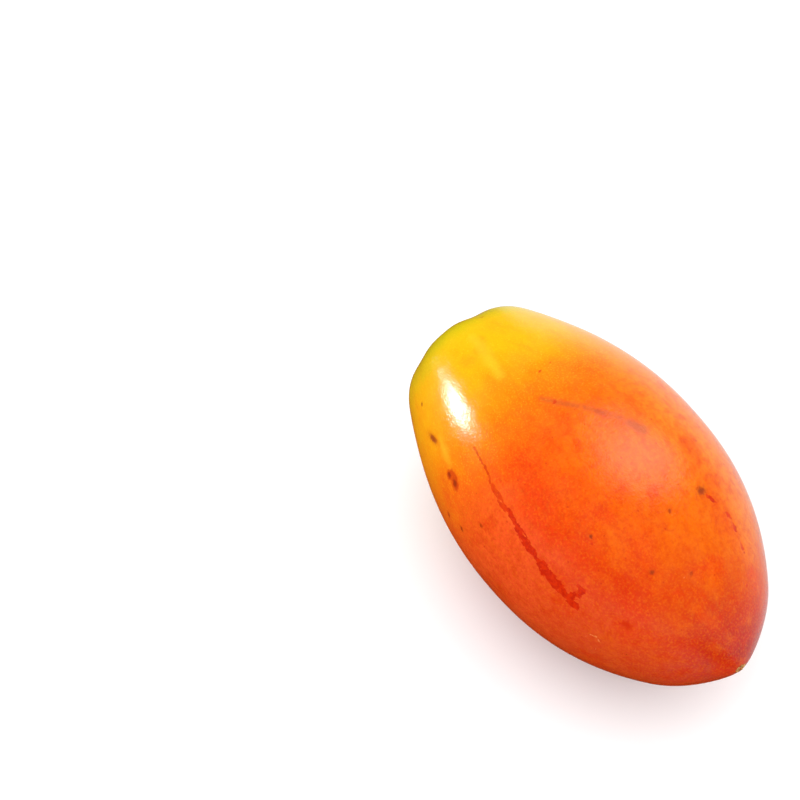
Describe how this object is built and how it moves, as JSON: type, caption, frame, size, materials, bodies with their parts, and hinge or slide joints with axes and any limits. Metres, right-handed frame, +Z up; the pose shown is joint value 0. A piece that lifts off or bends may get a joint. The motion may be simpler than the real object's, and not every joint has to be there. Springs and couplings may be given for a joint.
{
  "type": "tamarillo",
  "caption": "Whole ripe egg-shaped tamarillo lying on its side, stalk removed, with a softly lobed stem end, a corky stem scar and a small dry blossom nub.",
  "frame": {"origin": "centre of the bounding box's bottom face, on the surface that the fruit rests on", "axes": "+X along the fruit's long axis from the stem end to the blossom end, +Z up"},
  "size_m": [0.0834, 0.0482, 0.0473],
  "materials": {
    "skin": "smooth waxy fruit skin, orange-red with a yellow stem end"
  },
  "bodies": {
    "root": {"fruit": "skin"}
  },
  "joints": []
}
